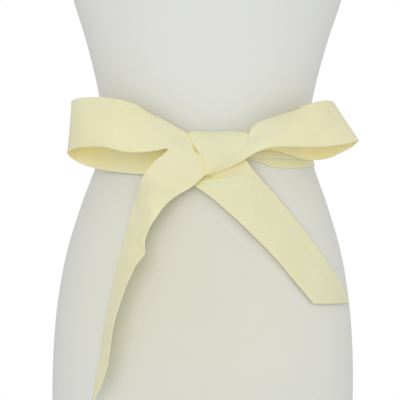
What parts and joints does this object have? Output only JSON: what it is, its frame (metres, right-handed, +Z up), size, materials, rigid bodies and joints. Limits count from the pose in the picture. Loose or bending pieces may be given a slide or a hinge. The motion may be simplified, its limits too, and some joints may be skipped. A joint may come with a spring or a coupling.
{
  "type": "satin sash tied in a bow on a limbless dress form",
  "caption": "Pale satin ribbon sash wound round the waist of a smooth limbless dress form, tied in a front bow with open loops and long trailing ends.",
  "frame": {"origin": "centre of the dress form's flat base", "axes": "+Z up along the form, the front with the bow faces -Y, +X to the right seen from the front"},
  "size_m": [0.3418, 0.2786, 0.815],
  "materials": {
    "sash_satin": "pale yellow satin with a soft low sheen",
    "form_jersey": "off-white matt jersey pulled smooth over the form"
  },
  "bodies": {
    "root": {"dress_form": "form_jersey", "waist_band": "sash_satin", "knot": "sash_satin", "loop_left": "sash_satin", "loop_right": "sash_satin", "tail_left": "sash_satin", "tail_right": "sash_satin"}
  },
  "joints": []
}
